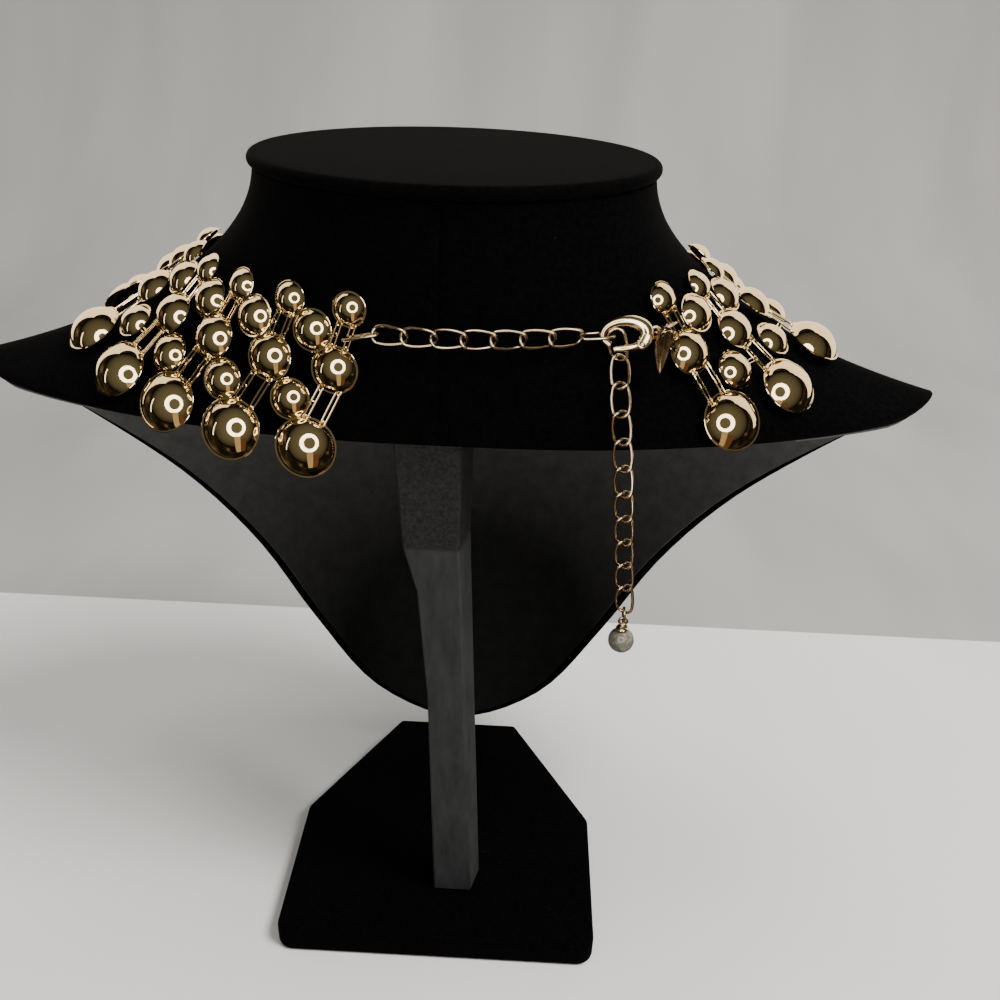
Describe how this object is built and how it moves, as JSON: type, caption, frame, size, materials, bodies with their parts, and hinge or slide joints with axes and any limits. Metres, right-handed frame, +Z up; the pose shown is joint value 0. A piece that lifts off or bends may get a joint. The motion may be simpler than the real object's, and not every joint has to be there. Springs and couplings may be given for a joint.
{
  "type": "collar choker necklace on a neck bust stand",
  "caption": "Wide choker of mirror-polished domed discs in staggered rows, closed at the back by a lobster clasp and an extension chain, on a plain velvet neck bust stand.",
  "frame": {"origin": "middle of the base's underside", "axes": "+Z up, +Y towards the bust's front, so the clasp is on -Y; +X along the shoulders"},
  "size_m": [0.256, 0.1134, 0.2265],
  "materials": {
    "gold": "mirror-polished pale gold plating",
    "chain_metal": "polished pale gold wire",
    "tag_metal": "polished brownish gold plate",
    "bead": "pearly grey, soft sheen",
    "velvet": "black short-pile velvet",
    "lining_board": "matte dark grey paper-faced board",
    "post_board": "matte dark grey board"
  },
  "bodies": {
    "root": {"bust_shell": "velvet", "bust_lining": "lining_board", "neck_cap": "velvet", "post": "post_board", "base": "velvet", "collar_strand_01": "gold", "collar_strand_02": "gold", "collar_strand_03": "gold", "collar_strand_04": "gold", "collar_strand_05": "gold", "collar_strand_06": "gold", "collar_strand_07": "gold", "collar_strand_08": "gold", "collar_strand_09": "gold", "collar_strand_10": "gold", "collar_strand_11": "gold", "collar_strand_12": "gold", "collar_strand_13": "gold", "collar_strand_14": "gold", "collar_strand_15": "gold", "collar_strand_16": "gold", "collar_strand_17": "gold", "collar_strand_18": "gold", "collar_strand_19": "gold", "collar_strand_20": "gold", "end_link_left": "chain_metal", "chain_link_1": "chain_metal", "chain_link_2": "chain_metal", "chain_link_3": "chain_metal", "chain_link_4": "chain_metal", "chain_link_5": "chain_metal", "chain_link_6": "chain_metal", "chain_link_7": "chain_metal", "hooked_link": "chain_metal", "hanging_link": "chain_metal", "drop_link_1": "chain_metal", "drop_link_2": "chain_metal", "drop_link_3": "chain_metal", "drop_link_4": "chain_metal", "drop_link_5": "chain_metal", "drop_link_6": "chain_metal", "drop_link_7": "chain_metal", "drop_link_8": "chain_metal", "drop_link_9": "chain_metal", "drop_link_10": "chain_metal", "drop_ring": "chain_metal", "bead_cap": "chain_metal", "bead": "bead", "clasp_body": "gold", "clasp_ring": "chain_metal", "end_link_right": "chain_metal", "leaf_tag": "tag_metal"},
    "clasp_lever": {"clasp_lever": "gold"}
  },
  "joints": [
    {"name": "lever_hinge", "type": "hinge", "parent": "root", "child": "clasp_lever", "pos_m": [0.04442, -0.04036, 0.19403], "axis": [-0.1209, 0.9364, -0.3294], "range_deg": [0, 12], "stiffness_Nm_per_rad": 0.0005, "springref_deg": -11.46}
  ]
}
